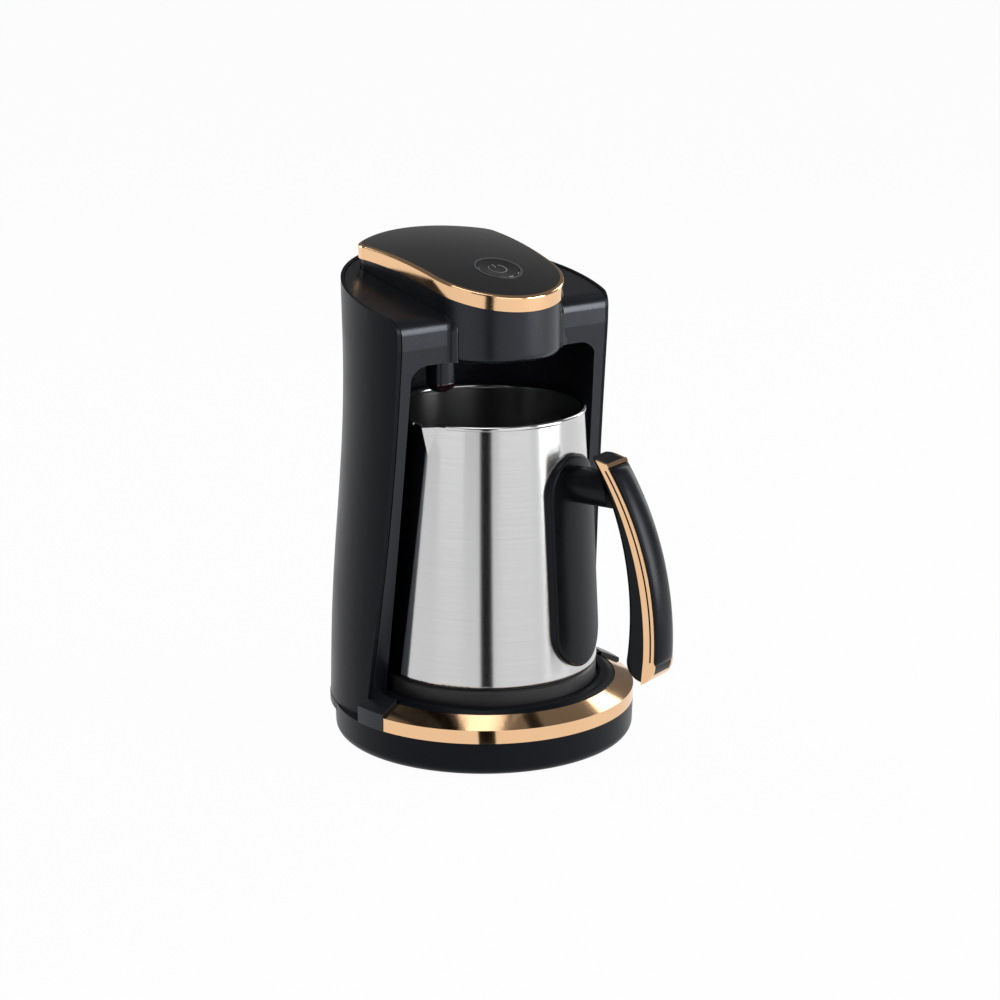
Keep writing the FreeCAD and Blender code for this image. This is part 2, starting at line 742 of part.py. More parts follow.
# Head: housing with a round lobe, bright trim, glossy panel
def build_head():
    inset = size("head_inset")
    wall = size("frame_wall")
    trim_high = size("head_trim_height")
    floor = size("head_floor")
    ceiling = size("bay_ceiling") + wall
    body = head_prism(inset, floor, 245).common(crown(trim_high))
    rear = Part.makeBox(200, 200, ceiling + 0.02 - 100, V(-100, size("front_high_y") + wall + 3 - 0.3, 100))
    lobe = revolve_profile([
        (0, floor), (size("head_radius") - inset, floor, size("head_floor_round")),
        (size("head_radius") - inset, 245), (0, 245),
    ], size("head_setback"))
    behind = Part.makeBox(200, 200, 200, V(-100, size("front_high_y") + 3, 100))
    body = solid_of(body.cut(rear).common(lobe.fuse(behind)))
    inside = head_prism(inset + wall, floor + wall, 245)
    body = body.cut(inside)
    feature("head_housing", body)

    width = size("head_trim_width")
    band = head_prism(0, 190, 245).cut(head_prism(width, 190, 245))
    band = solid_of(band.common(crown(0)).cut(crown(trim_high)))
    lip = []
    for edge in band.Edges:
        box = edge.BoundBox
        middle = edge.valueAt((edge.FirstParameter + edge.LastParameter) / 2)
        if on_crown(middle) and on_outline(middle):
            lip.append(edge)
    try:
        band = band.makeFillet(0.9, lip)
    except Part.OCCError:
        print("trim lip failed", len(lip))
    ledge = head_prism(width - 0.01, 190, 245).cut(head_prism(width + 2.6, 190, 245))
    panel = size("panel_thick")
    ledge = ledge.common(crown(panel)).cut(crown(panel + 1.4))
    feature("head_trim", band.fuse(ledge))

    seam = 0.12
    plate = head_prism(width + seam, 190, 245).common(crown(0)).cut(crown(panel))
    hole = tilted(Part.makeCylinder(size("button_radius") + size("button_gap") + 1.3, 20, V(0, 0, -10)))
    posts = []
    for x, across in board_corners():
        post = cylinder(size("board_post_radius"), board_level(), -panel / 2, x, across)
        pin = cylinder(size("board_post_radius") / 2, board_level() - size("board_thick") - 0.6, -panel, x, across)
        posts.append(tilted(post.fuse(pin)))
    feature("control_panel", plate.cut(hole).fuse(posts))


def board_level():
    """Top of the control board below the panel's surface, measured along the button's own axis."""
    plunger_foot = -size("panel_thick") - 5.0
    return plunger_foot - size("button_travel") - 0.3 - size("switch_case")


def board_corners():
    x = size("board_length") / 2 - size("board_post_inset")
    across = size("board_width") / 2 - size("board_post_inset")
    return [(i * x, j * across) for i in (-1, 1) for j in (-1, 1)]


def on_crown(point):
    axis_height = size("crown_top") - size("crown_long_radius")
    sag = size("crown_cross_radius") - math.sqrt(size("crown_cross_radius") ** 2 - point.x ** 2)
    distance = math.hypot(point.y - size("crown_y"), point.z - axis_height)
    return abs(distance - (size("crown_long_radius") - sag)) < 0.02


def on_outline(point):
    wire = head_outline(0, point.z)
    return wire.distToShape(Part.Vertex(point))[0] < 0.02


def tilted(solid):
    """Stands a solid drawn about the vertical axis square to the panel at the button."""
    height, tilt = crown_at(size("button_y"))
    solid.rotate(V(0, 0, 0), V(1, 0, 0), tilt)
    solid.translate(V(0, size("button_y"), height))
    return solid


def build_button():
    radius = size("button_radius")
    gap = size("button_gap")
    panel = size("panel_thick")
    travel = size("button_travel")
    ring = revolve_profile([
        (radius + gap, 0.0), (radius + gap + 1.2, 0.0), (radius + gap + 1.2, -panel - 0.4),
        (radius + gap + 3.0, -panel - 0.4), (radius + gap + 3.0, -panel - 1.4), (radius + gap, -panel - 1.4),
    ])
    feature("button_ring", tilted(ring))
    dish_radius = 70.0
    cap = revolve_profile([
        (0, -panel), (radius, -panel), (radius, 0.25, 0.7), (0, 0.25),
    ])
    dish = Part.makeSphere(dish_radius, V(0, 0, dish_radius - 0.55))
    cap = cap.cut(dish)
    flange = cylinder(radius + gap + 1.0, -panel - 2.4, -panel - 1.5)
    neck = cylinder(radius - 1.2, -panel - 1.5, -panel)
    stem = cylinder(2.4, -panel - 5.0, -panel - 2.4)
    feature("start_button", tilted(cap.fuse([neck, flange, stem])))
    plunger_radius = 1.6
    foot = -panel - 5.0
    plunger = cylinder(plunger_radius, foot - 3.0, foot)
    feature("switch_plunger", tilted(plunger))
    board_top = board_level()
    case = Part.makeBox(6.4, 6.4, size("switch_case"), V(-3.2, -3.2, board_top)).cut(
        cylinder(plunger_radius + size("plunger_gap"), foot - 3.0 - travel - 0.2, 0))
    feature("tact_switch", tilted(case))
    board = Part.makeBox(size("board_length"), size("board_width"), size("board_thick"),
                         V(-size("board_length") / 2, -size("board_width") / 2, board_top - size("board_thick")))
    for x, across in board_corners():
        board = board.cut(cylinder(size("board_post_radius") / 2 + 0.05, board_top - 5, board_top + 1, x, across))
    feature("control_board", tilted(board))
    leds = []
    for angle in range(0, 360, 90):
        x = 7.2 * math.cos(math.radians(angle + 45))
        y = 7.2 * math.sin(math.radians(angle + 45))
        leds.append(tilted(Part.makeBox(1.6, 1.6, 0.9, V(x - 0.8, y - 0.8, board_top))))
    feature("status_leds", Part.makeCompound(leds))
    buzzer = cylinder(4.0, board_top, board_top + 3.4, -11.5, 0).cut(
        cylinder(1.0, board_top + 2.4, board_top + 4, -11.5, 0))
    feature("buzzer", tilted(buzzer))


# Electronics behind the bay
def build_power_board():
    y = bay_back() + 4.0
    low = deck_top + 10
    board = Part.makeBox(44, 1.6, 70, V(-22, y, low))
    feature("power_board", board)
    relay = Part.makeBox(15, 9, 19, V(-18, y + 1.6, low + 6))
    feature("relay", relay)
    capacitor = Part.makeCylinder(4.0, 9.5, V(8, y + 1.6, low + 16), V(0, 1, 0))
    feature("filter_capacitor", capacitor)
    transformer = Part.makeBox(17, 9.5, 16, V(-2, y + 1.6, low + 34))
    core = Part.makeBox(21, 4.5, 11, V(-4, y + 4.0, low + 36.5))
    feature("transformer", transformer.fuse(core))
    terminal = Part.makeBox(12, 7, 8, V(-20, y + 1.6, low + 46))
    for i in range(2):
        terminal = terminal.cut(Part.makeCylinder(1.2, 5, V(-17 + 6 * i, y + 5, low + 49), V(0, 1, 0)))
    feature("terminal_block", terminal)
    holders = []
    for side in (-1, 1):
        for height in (low + 4, low + 66):
            post = Part.makeCylinder(2.4, 8, V(side * 19, y - 8, height), V(0, 1, 0))
            post = post.cut(bay(size("frame_wall"), deck_top - 5, size("bay_ceiling")))
            holders.append(post)
    feature("board_spacers", Part.makeCompound(holders))


def bay_back():
    return size("pot_setback") + bay_radius(deck_top + 10) + size("frame_wall")


# Pot: spun steel cup with a pressed spout
def pot_radius(height):
    share = (height - size("pot_bottom")) / size("pot_height")
    return size("pot_bottom_radius") + share * (size("pot_rim_radius") - size("pot_bottom_radius"))


def pot_cone(grow, low, high):
    return Part.makeCone(pot_radius(low) + grow, pot_radius(high) + grow, high - low,
                         V(0, size("pot_setback"), low))


def pyramid(base, apex):
    faces = [Part.Face(Part.makePolygon([base[0], base[1], base[2], base[0]]))]
    for i in range(3):
        a = base[i]
        b = base[(i + 1) % 3]
        faces.append(Part.Face(Part.makePolygon([a, b, apex, a])))
    solid = Part.makeSolid(Part.makeShell(faces))
    if solid.Volume < 0:
        solid.reverse()
    return solid


def spout(inset, top):
    rim = size("pot_rim_radius")
    half = size("spout_width") / 2 - inset
    y = size("pot_setback")
    root = rim - 6
    tip = rim + size("spout_reach") - inset * 1.6
    depth = size("spout_depth") - inset * 3
    base = [V(-half - 3, y - root, top), V(half + 3, y - root, top), V(0, y - tip, top)]
    apex = V(0, y - pot_radius(top - depth) + 1.0, top - depth)
    solid = pyramid(base, apex)
    solid.rotate(V(0, y, 0), V(0, 0, 1), size("handle_angle") - 90)
    return solid


def build_pot():
    y = size("pot_setback")
    low = size("pot_bottom")
    high = low + size("pot_height")
    wall = size("pot_wall")
    outer = revolve_profile([
        (0, low), (size("pot_bottom_radius"), low, size("pot_bottom_round")), (size("pot_rim_radius"), high),
        (0, high),
    ], y)
    inner = revolve_profile([
        (0, low + wall * 1.5), (pot_radius(low + wall * 1.5) - wall, low + wall * 1.5, size("pot_bottom_round")),
        (size("pot_rim_radius") - wall, high), (0, high),
    ], y)
    cup = outer.fuse(spout(0, high)).cut(inner).cut(spout(wall, high + 0.001))
    bead = Part.makeTorus(size("pot_rim_radius") - wall / 2, size("rim_bead"), V(0, y, high))
    keep_out = Part.makeBox(size("spout_width") + 3, 30, 8, V(-size("spout_width") / 2 - 1.5, y - 60, high - 4))
    keep_out.rotate(V(0, y, 0), V(0, 0, 1), size("handle_angle") - 90)
    return feature("pot_body", cup.fuse(bead.cut(keep_out)))


def turned_to_handle(solid):
    solid.rotate(V(0, size("pot_setback"), 0), V(0, 0, 1), size("handle_angle"))
    return solid


def side_point(reach, height):
    return V(0, size("pot_setback") - reach, height)


def grip_profile(top_depth, low_depth, core):
    """Side view of the grip: a bowed outer edge and a bowed inner edge that meet in a round tip."""
    top_out = side_point(size("grip_top_reach"), size("grip_top_height"))
    low_out = side_point(size("grip_low_reach"), size("grip_low_height"))
    along = (low_out - top_out).normalize()
    outward = V(0, along.z, -along.y)
    if outward.y > 0:
        outward = outward * -1
    mid_out = (top_out + low_out) * 0.5 + outward * size("grip_bow")
    top_in = top_out - outward * 0 + V(0, top_depth, top_depth * 0.24)
    low_in = low_out + V(0, low_depth, 0)
    mean = (top_depth + low_depth) / 2
    mid_in = mid_out + V(0, mean * 0.93, mean * -0.14)
    tip_height = size("grip_tip_height")
    tip = side_point(size("grip_low_reach") - size("grip_depth_low") * 0.42, tip_height)
    edges = [Part.Arc(top_out, mid_out, low_out).toShape()]
    swell_out = V(0, low_out.y + 2.0, tip_height + 3.1)
    edges.append(Part.Arc(low_out, swell_out, tip).toShape())
    if core:
        swell_in = V(0, low_in.y - 1.6, tip_height + 3.6)
        edges.append(Part.Arc(tip, swell_in, low_in).toShape())
    else:
        edges.append(Part.LineSegment(tip, low_in).toShape())
    edges.append(Part.Arc(low_in, mid_in, top_in).toShape())
    edges.append(Part.LineSegment(top_in, top_out).toShape())
    return Part.Face(Part.Wire(edges))


def slab(face, half_width):
    solid = face.extrude(V(2 * half_width, 0, 0))
    solid.translate(V(-half_width, 0, 0))
    return solid


def build_handle():
    y = size("pot_setback")
    half_pad = size("pad_width") / 2
    pad_low = size("pad_bottom")
    pad_high = size("pad_top")
    thick = size("pad_thick")
    stadium = Part.Wire([
        Part.Arc(V(-half_pad, 0, pad_high - half_pad), V(0, 0, pad_high), V(half_pad, 0, pad_high - half_pad)).toShape(),
        Part.LineSegment(V(half_pad, 0, pad_high - half_pad), V(half_pad, 0, pad_low + half_pad)).toShape(),
        Part.Arc(V(half_pad, 0, pad_low + half_pad), V(0, 0, pad_low), V(-half_pad, 0, pad_low + half_pad)).toShape(),
        Part.LineSegment(V(-half_pad, 0, pad_low + half_pad), V(-half_pad, 0, pad_high - half_pad)).toShape(),
    ])
    block = Part.Face(stadium).extrude(V(0, -90, 0))
    pad = block.common(pot_cone(thick, pad_low - 2, pad_high + 2))
    pad = solid_of(pad.cut(pot_cone(0.02, pad_low - 3, pad_high + 3)))
    outer_edges = []
    for edge in pad.Edges:
        middle = edge.valueAt((edge.FirstParameter + edge.LastParameter) / 2)
        reach = math.hypot(middle.x, middle.y - y)
        if reach > pot_radius(middle.z) + thick - 0.1:
            outer_edges.append(edge)
    try:
        pad = pad.makeFillet(1.8, outer_edges)
    except Part.OCCError:
        print("pad round failed", len(outer_edges))

    half = size("grip_width") / 2
    depth = size("grip_frame_depth")
    wall = size("grip_frame_wall")
    whole = slab(grip_profile(size("grip_depth_top"), size("grip_depth_low"), True), half)
    band = slab(grip_profile(depth, depth, False), half + 1)
    frame = whole.common(band)
    core = solid_of(whole.cut(band))
    # the long edges that lie nearest the pot, where the fingers close
    long_edges = [edge for edge in core.Edges if edge.BoundBox.XLength < 0.01
                  and edge.BoundBox.ZLength > 0.6 * (size("grip_top_height") - size("grip_tip_height"))]
    nearest = max(edge.BoundBox.YMax for edge in long_edges)
    inner_edges = [edge for edge in long_edges if edge.BoundBox.YMax > nearest - 0.5]
    try:
        core = core.makeFillet(3.4, inner_edges)
    except Part.OCCError:
        print("grip round failed", len(inner_edges))
    shrink = grip_profile(depth + 3, depth + 3, False)
    inset = slab(shrink, half - wall)
    inset = inset.cut(Part.makeBox(60, 60, 20, V(-30, y - 120, size("grip_tip_height") - 15)))
    cover = frame.common(inset)
    frame = frame.cut(cover)
    stem_height = size("stem_height")
    stem_start = pot_radius(stem_height) - 2
    stem_length = size("grip_top_reach") - size("stem_trim") - stem_start
    stem = Part.makeCylinder(size("stem_radius"), stem_length, V(0, y - stem_start, stem_height), V(0, -1, 0))
    stem = solid_of(stem.cut(pot_cone(thick, pad_low, pad_high + 3)).cut(whole))
    bolt_start = side_point(pot_radius(stem_height) + 0.4, stem_height)
    bolt = Part.makeCylinder(size("bolt_radius"), size("bolt_length"), bolt_start, V(0, -1, 0))
    pad = pad.cut(bolt)
    stem = stem.cut(bolt)
    core = core.cut(bolt)
    feature("handle_pad", turned_to_handle(pad))
    feature("handle_stem", turned_to_handle(stem))
    feature("handle_bolt", turned_to_handle(bolt))
    feature("grip_core", turned_to_handle(core))
    feature("grip_frame", turned_to_handle(frame))
    feature("grip_cover", turned_to_handle(cover))


build_base_bowl()
build_base_fastenings()
build_trim_ring()
build_seat()
build_heater()
build_rear_shell()
build_cord_grommet()
build_front_frame()
build_sensor()
build_head()
build_button()
build_power_board()
build_pot()
build_handle()
doc.recompute()

# centre the whole object on its own origin along Y
reach = FreeCAD.BoundBox()
for node in NODES:
    reach.add(node.Shape.optimalBoundingBox(False))
setback_row = [name for name, value in SIZES].index("axis_setback") + 1
sheet.set("B%d" % setback_row, "%.3f" % (size("axis_setback") - reach.Center.y))
doc.recompute()

faults = []
for item in doc.Objects:
    if any(word in item.State for word in ("Invalid", "Error")):
        faults.append(item.Name + " " + str(item.State))
for node in NODES:
    if node.Shape.isNull() or not node.Shape.isValid():
        faults.append(node.Label + " has no valid shape")
if faults:
    raise RuntimeError("; ".join(faults))

os.makedirs("parts", exist_ok=True)
whole = FreeCAD.BoundBox()
for node in NODES:
    node.Shape.exportStep(os.path.join("parts", node.Label + ".step"))
    whole.add(node.Shape.BoundBox)
    print(node.Label, len(node.Shape.Solids), round(node.Shape.Volume), "mm3")
print("setback %.3f" % size("axis_setback"), "box", whole)
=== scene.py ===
import json
import math
import bmesh
import bpy
from mathutils import Matrix, Vector


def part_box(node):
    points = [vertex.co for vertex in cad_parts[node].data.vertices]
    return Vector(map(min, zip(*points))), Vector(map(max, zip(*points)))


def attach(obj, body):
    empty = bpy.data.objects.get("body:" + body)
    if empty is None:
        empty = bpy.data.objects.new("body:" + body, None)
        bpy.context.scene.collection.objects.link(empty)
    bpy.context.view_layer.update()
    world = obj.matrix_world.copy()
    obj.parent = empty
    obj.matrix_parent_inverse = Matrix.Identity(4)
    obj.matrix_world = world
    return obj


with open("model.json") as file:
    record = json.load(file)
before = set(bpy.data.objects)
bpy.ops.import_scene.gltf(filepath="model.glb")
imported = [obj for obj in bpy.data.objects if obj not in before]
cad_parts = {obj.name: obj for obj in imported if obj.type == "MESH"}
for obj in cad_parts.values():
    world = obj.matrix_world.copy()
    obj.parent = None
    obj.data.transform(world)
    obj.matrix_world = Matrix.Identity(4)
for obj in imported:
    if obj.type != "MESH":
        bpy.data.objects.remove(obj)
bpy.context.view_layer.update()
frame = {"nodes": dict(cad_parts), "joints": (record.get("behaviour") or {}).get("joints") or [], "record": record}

nodes = frame["nodes"]
print("frame loaded with", len(nodes), "nodes")

plateLow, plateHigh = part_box("base_bottom_plate")
baseY = (plateLow.y + plateHigh.y) / 2  # the base's own axis, a little behind the middle of the whole object


# shared effects
def newGroup(name, inputs, outputs):
    group = bpy.data.node_groups.new(name, "ShaderNodeTree")
    for label, value in inputs.items():
        socket = group.interface.new_socket(label, in_out="INPUT", socket_type="NodeSocketFloat")
        socket.default_value = value
    for label, kind in outputs.items():
        group.interface.new_socket(label, in_out="OUTPUT", socket_type=kind)
    start = group.nodes.new("NodeGroupInput")
    end = group.nodes.new("NodeGroupOutput")
    return group, start, end


def noise(tree, where, scale, detail):
    node = tree.nodes.new("ShaderNodeTexNoise")
    node.inputs["Scale"].default_value = scale
    node.inputs["Detail"].default_value = detail
    tree.links.new(where, node.inputs["Vector"])
    return node


def bump(tree, height, strength, distance):
    node = tree.nodes.new("ShaderNodeBump")
    node.inputs["Distance"].default_value = distance
    tree.links.new(strength, node.inputs["Strength"])
    tree.links.new(height, node.inputs["Height"])
    return node


def multiply(tree, first, second, clamp=False):
    node = tree.nodes.new("ShaderNodeMath")
    node.operation = "MULTIPLY"
    node.use_clamp = clamp
    tree.links.new(first, node.inputs[0])
    tree.links.new(second, node.inputs[1])
    return node.outputs[0]


grainSizes = {
    "grainDetail": 3, "grainDepth": 0.00012, "waveScale": 22, "waveDetail": 1, "waveDepth": 0.0015,
    "smudgeScale": 45, "smudgeDetail": 5,
}


def mouldGrainGroup():
    # fine spark-eroded grain of moulded plastic, with slow waves of the moulding under it
    group, start, end = newGroup("mouldGrain", {"Scale": 1500.0, "Depth": 0.1, "Wave": 0.05},
                                 {"Tone": "NodeSocketFloat", "Normal": "NodeSocketVector"})
    link = group.links.new
    where = group.nodes.new("ShaderNodeTexCoord").outputs["Object"]
    grain = noise(group, where, 1, grainSizes["grainDetail"])
    link(start.outputs["Scale"], grain.inputs["Scale"])
    wave = noise(group, where, grainSizes["waveScale"], grainSizes["waveDetail"])
    smudge = noise(group, where, grainSizes["smudgeScale"], grainSizes["smudgeDetail"])
    slow = bump(group, wave.outputs["Fac"], start.outputs["Wave"], grainSizes["waveDepth"])
    fine = bump(group, grain.outputs["Fac"], start.outputs["Depth"], grainSizes["grainDepth"])
    link(slow.outputs["Normal"], fine.inputs["Normal"])
    link(smudge.outputs["Fac"], end.inputs["Tone"])
    link(fine.outputs["Normal"], end.inputs["Normal"])
    return group


spunSizes = {"lineDetail": 4, "lineDepth": 0.0002}


def spunLinesGroup():
    # fine lines that run round a spun or turned piece, about the upright axis
    group, start, end = newGroup("spunLines", {"Lines": 3000.0, "Depth": 0.1, "Streak": 6.0},
                                 {"Tone": "NodeSocketFloat", "Normal": "NodeSocketVector"})
    link = group.links.new
    where = group.nodes.new("ShaderNodeTexCoord").outputs["Object"]
    split = group.nodes.new("ShaderNodeSeparateXYZ")
    link(where, split.inputs["Vector"])
    join = group.nodes.new("ShaderNodeCombineXYZ")
    for axis, label in (("X", "Streak"), ("Y", "Streak"), ("Z", "Lines")):
        link(multiply(group, split.outputs[axis], start.outputs[label]), join.inputs[axis])
    lines = noise(group, join.outputs["Vector"], 1, spunSizes["lineDetail"])
    raised = bump(group, lines.outputs["Fac"], start.outputs["Depth"], spunSizes["lineDepth"])
    link(lines.outputs["Fac"], end.inputs["Tone"])
    link(raised.outputs["Normal"], end.inputs["Normal"])
    return group


wearAndSheenSizes = {"samples": 4, "flat": 0.995, "sharp": 0.86, "patchScale": 160, "patchDetail": 2}


def edgeWearAndSheenGroup():
    # a mask that is bright along sharp edges, broken up in patches: partly handling wear, partly a painted
    # highlight where the edges catch light
    group, start, end = newGroup("edgeWearAndSheen", {"Radius": 0.0006, "Amount": 1.0}, {"Mask": "NodeSocketFloat"})
    link = group.links.new
    where = group.nodes.new("ShaderNodeTexCoord").outputs["Object"]
    rounded = group.nodes.new("ShaderNodeBevel")
    rounded.samples = wearAndSheenSizes["samples"]
    link(start.outputs["Radius"], rounded.inputs["Radius"])
    face = group.nodes.new("ShaderNodeNewGeometry")
    dot = group.nodes.new("ShaderNodeVectorMath")
    dot.operation = "DOT_PRODUCT"
    link(rounded.outputs["Normal"], dot.inputs[0])
    link(face.outputs["Normal"], dot.inputs[1])
    spread = group.nodes.new("ShaderNodeMapRange")
    spread.inputs["From Min"].default_value = wearAndSheenSizes["flat"]
    spread.inputs["From Max"].default_value = wearAndSheenSizes["sharp"]
    link(dot.outputs["Value"], spread.inputs["Value"])
    patch = noise(group, where, wearAndSheenSizes["patchScale"], wearAndSheenSizes["patchDetail"])
    broken = multiply(group, spread.outputs["Result"], patch.outputs["Fac"])
    link(multiply(group, broken, start.outputs["Amount"], clamp=True), end.inputs["Mask"])
    return group


mouldGrain = mouldGrainGroup()
spunLines = spunLinesGroup()
edgeWearAndSheen = edgeWearAndSheenGroup()
print("shared effects built")


# materials
def mixColours(tree, fraction, low, high):
    # low and high are each a colour or a socket
    mix = tree.nodes.new("ShaderNodeMix")
    mix.data_type = "RGBA"
    for index, colour in ((6, low), (7, high)):
        if isinstance(colour, tuple):
            mix.inputs[index].default_value = (*colour, 1)
        else:
            tree.links.new(colour, mix.inputs[index])
    tree.links.new(fraction, mix.inputs[0])
    return mix.outputs[2]


def spreadRange(tree, value, low, high):
    # noise rarely leaves the middle of its range, so that part is spread from low to high
    spread = tree.nodes.new("ShaderNodeMapRange")
    spread.inputs["From Min"].default_value = 0.3
    spread.inputs["From Max"].default_value = 0.7
    spread.inputs["To Min"].default_value = low
    spread.inputs["To Max"].default_value = high
    tree.links.new(value, spread.inputs["Value"])
    return spread.outputs["Result"]


def place(tree, group, values):
    node = tree.nodes.new("ShaderNodeGroup")
    node.node_tree = group
    for label, value in values.items():
        node.inputs[label].default_value = value
    return node


# what a finish has where its own look says nothing
plainLook = {
    "metallic": 0.0, "ior": 1.46, "coat": 0.0, "coatRoughness": 0.05, "specular": 0.5,
    "specularTint": (1, 1, 1), "anisotropic": 0.0, "anisotropicTurn": 0.0, "wearAndSheenRadius": 0.0006,
}


def surface(name, ownLook):
    # one finish: a base shader with grain or spun lines, uneven gloss, and edges lightened partly by wear and
    # partly by a painted highlight
    look = {**plainLook, **ownLook}
    material = bpy.data.materials.new(name)
    material.use_nodes = True
    tree = material.node_tree
    shader = tree.nodes["Principled BSDF"]
    shader.inputs["Metallic"].default_value = look["metallic"]
    shader.inputs["IOR"].default_value = look["ior"]
    shader.inputs["Coat Weight"].default_value = look["coat"]
    shader.inputs["Coat Roughness"].default_value = look["coatRoughness"]
    shader.inputs["Specular IOR Level"].default_value = look["specular"]
    shader.inputs["Specular Tint"].default_value = (*look["specularTint"], 1)
    shader.inputs["Anisotropic"].default_value = look["anisotropic"]
    shader.inputs["Anisotropic Rotation"].default_value = look["anisotropicTurn"]
    if "lines" in look:
        detail = place(tree, spunLines, look["lines"])
    else:
        detail = place(tree, mouldGrain, look["grain"])
    wearAndSheen = place(tree, edgeWearAndSheen, {"Radius": look["wearAndSheenRadius"], "Amount": look["wearAndSheen"]})
    toned = mixColours(tree, detail.outputs["Tone"], look["dark"], look["light"])
    # sharp edges take the lighter edge colour: partly wear, partly a painted highlight
    wornAndSheen = mixColours(tree, wearAndSheen.outputs["Mask"], toned, look["wornAndSheen"])
    gloss = spreadRange(tree, detail.outputs["Tone"], look["smooth"], look["rough"])
    tree.links.new(wornAndSheen, shader.inputs["Base Color"])
    tree.links.new(gloss, shader.inputs["Roughness"])
    tree.links.new(detail.outputs["Normal"], shader.inputs["Normal"])
    return material


# each look's lighter edge colour is partly wear and partly a painted highlight along sharp edges
satinBlackLook = {
    "dark": (0.0055, 0.006, 0.008), "light": (0.0075, 0.0082, 0.0105), "wornAndSheen": (0.05, 0.052, 0.058),
    "smooth": 0.27, "rough": 0.35, "wearAndSheen": 0.5, "specular": 0.12, "specularTint": (0.84, 0.9, 1.0),
    "grain": {"Scale": 2600.0, "Depth": 0.12, "Wave": 0.04},
}
frameBlackLook = {
    "dark": (0.0055, 0.0062, 0.0085), "light": (0.0078, 0.0086, 0.0115), "wornAndSheen": (0.07, 0.072, 0.08),
    "smooth": 0.24, "rough": 0.31, "wearAndSheen": 0.7, "specular": 0.5, "specularTint": (0.84, 0.9, 1.0),
    "grain": {"Scale": 2200.0, "Depth": 0.08, "Wave": 0.015},
}
handleBlackLook = {
    "dark": (0.0045, 0.005, 0.0065), "light": (0.0065, 0.007, 0.009), "wornAndSheen": (0.05, 0.052, 0.058),
    "smooth": 0.24, "rough": 0.32, "wearAndSheen": 0.5, "specular": 0.2, "specularTint": (0.86, 0.92, 1.0),
    "grain": {"Scale": 2600.0, "Depth": 0.12, "Wave": 0.05},
}
glossBlackLook = {
    "dark": (0.0035, 0.004, 0.005), "light": (0.005, 0.0055, 0.0068), "wornAndSheen": (0.03, 0.03, 0.033),
    "smooth": 0.07, "rough": 0.13, "wearAndSheen": 0.3, "coat": 0.6, "coatRoughness": 0.04,
    "grain": {"Scale": 900.0, "Depth": 0.01, "Wave": 0.03},
}
# the button ring is a lighter grey than the other blacks: a painted highlight for the crescents of light round the
# button
buttonRingLook = {
    "dark": (0.07, 0.074, 0.08), "light": (0.09, 0.094, 0.1), "wornAndSheen": (0.2, 0.2, 0.21),
    "smooth": 0.15, "rough": 0.22, "wearAndSheen": 0.15,
    "grain": {"Scale": 1200.0, "Depth": 0.03, "Wave": 0.02},
}
roseMetalLook = {
    "dark": (0.86, 0.53, 0.29), "light": (0.93, 0.60, 0.35), "wornAndSheen": (0.98, 0.68, 0.45),
    "metallic": 1.0, "smooth": 0.07, "rough": 0.14, "wearAndSheen": 0.25,
    "grain": {"Scale": 700.0, "Depth": 0.015, "Wave": 0.05},
}
steelLook = {
    "dark": (0.52, 0.52, 0.525), "light": (0.74, 0.74, 0.745), "wornAndSheen": (0.85, 0.85, 0.86),
    "metallic": 1.0, "smooth": 0.15, "rough": 0.21, "wearAndSheen": 0.5,
    "anisotropic": 0.85, "anisotropicTurn": 0.25,
    "lines": {"Lines": 7500.0, "Depth": 0.04, "Streak": 26.0},
}
coatedPlateLook = {
    "dark": (0.016, 0.016, 0.018), "light": (0.026, 0.026, 0.028), "wornAndSheen": (0.2, 0.2, 0.2),
    "smooth": 0.36, "rough": 0.5, "wearAndSheen": 0.4,
    "grain": {"Scale": 3000.0, "Depth": 0.2, "Wave": 0.02},
}
aluminiumLook = {
    "dark": (0.55, 0.55, 0.56), "light": (0.7, 0.7, 0.71), "wornAndSheen": (0.85, 0.85, 0.85),
    "metallic": 1.0, "smooth": 0.34, "rough": 0.48, "wearAndSheen": 0.4,
    "grain": {"Scale": 1600.0, "Depth": 0.15, "Wave": 0.05},
}
zincLook = {
    "dark": (0.5, 0.51, 0.53), "light": (0.68, 0.68, 0.7), "wornAndSheen": (0.8, 0.8, 0.8),
    "metallic": 1.0, "smooth": 0.25, "rough": 0.4, "wearAndSheen": 0.5,
    "grain": {"Scale": 900.0, "Depth": 0.1, "Wave": 0.03},
}
rubberLook = {
    "dark": (0.013, 0.013, 0.013), "light": (0.021, 0.021, 0.021), "wornAndSheen": (0.05, 0.05, 0.05),
    "smooth": 0.7, "rough": 0.85, "wearAndSheen": 0.4,
    "grain": {"Scale": 1800.0, "Depth": 0.35, "Wave": 0.02},
}
windowLook = {
    "dark": (0.012, 0.003, 0.006), "light": (0.02, 0.005, 0.009), "wornAndSheen": (0.05, 0.02, 0.03),
    "smooth": 0.05, "rough": 0.1, "wearAndSheen": 0.2, "coat": 0.5,
    "grain": {"Scale": 600.0, "Depth": 0.01, "Wave": 0.01},
}
boardLook = {
    "dark": (0.01, 0.12, 0.05), "light": (0.02, 0.19, 0.08), "wornAndSheen": (0.25, 0.3, 0.15),
    "smooth": 0.25, "rough": 0.4, "wearAndSheen": 0.6,
    "grain": {"Scale": 1100.0, "Depth": 0.08, "Wave": 0.02},
}
componentBlackLook = {
    "dark": (0.02, 0.02, 0.02), "light": (0.032, 0.032, 0.032), "wornAndSheen": (0.07, 0.07, 0.07),
    "smooth": 0.4, "rough": 0.55, "wearAndSheen": 0.5,
    "grain": {"Scale": 1500.0, "Depth": 0.15, "Wave": 0.02},
}
